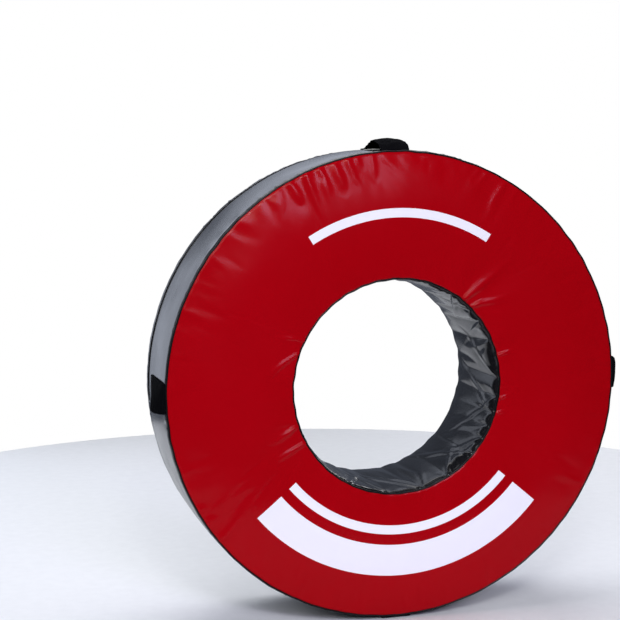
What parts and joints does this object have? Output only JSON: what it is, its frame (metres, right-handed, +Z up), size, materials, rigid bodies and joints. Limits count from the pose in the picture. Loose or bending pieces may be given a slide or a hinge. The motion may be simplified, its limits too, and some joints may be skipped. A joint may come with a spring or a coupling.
{
  "type": "tackle roller",
  "caption": "Upright foam tackle roller for contact training: a ring in a zipped PVC cover with a red face, webbing carry handles across the rim and an open bore.",
  "frame": {"origin": "on the floor, under the middle of the rim, at the centre of the bottom handle's flat underside", "axes": "+Y along the roller's axle line from the coloured face to the rear face; +Z up from the floor; +X to the right seen from the coloured face"},
  "size_m": [1.2504, 0.3, 1.2315],
  "materials": {
    "red_vinyl": "glossy PVC-coated cloth, softly puckered at the seams",
    "black_vinyl": "glossy PVC-coated cloth",
    "webbing": "woven polypropylene webbing",
    "foam": "open-cell foam, hidden",
    "zip_cloth": "woven polyester tape",
    "zip_nylon": "moulded plastic teeth",
    "zip_metal": "dark painted die-cast zinc"
  },
  "bodies": {
    "roller": {"front_face_panel": "red_vinyl", "rear_face_panel": "black_vinyl", "rim_band": "black_vinyl", "bore_sleeve": "black_vinyl", "front_rim_piping": "black_vinyl", "rear_rim_piping": "black_vinyl", "front_bore_piping": "black_vinyl", "rear_bore_piping": "black_vinyl", "front_foam_slab": "foam", "middle_foam_slab": "foam", "rear_foam_slab": "foam", "top_handle": "webbing", "left_handle": "webbing", "right_handle": "webbing", "bottom_handle": "webbing", "front_zip_tape": "zip_cloth", "rear_zip_tape": "zip_cloth", "front_tooth_row": "zip_nylon", "rear_tooth_row": "zip_nylon", "zip_closed_stop": "zip_metal", "zip_open_stop": "zip_metal"},
    "slider": {"zip_slider": "zip_metal"},
    "puller": {"zip_puller": "zip_metal"}
  },
  "joints": [
    {"name": "zip_travel", "type": "hinge", "parent": "roller", "child": "slider", "pos_m": [0, 0, 0.6033], "axis": [0, -1, 0], "range_deg": [0, 158.08]},
    {"name": "puller_flip", "type": "hinge", "parent": "slider", "child": "puller", "pos_m": [0.54854, 0.0979, 0.84704], "axis": [0, -1, 0], "range_deg": [0, 175]}
  ]
}
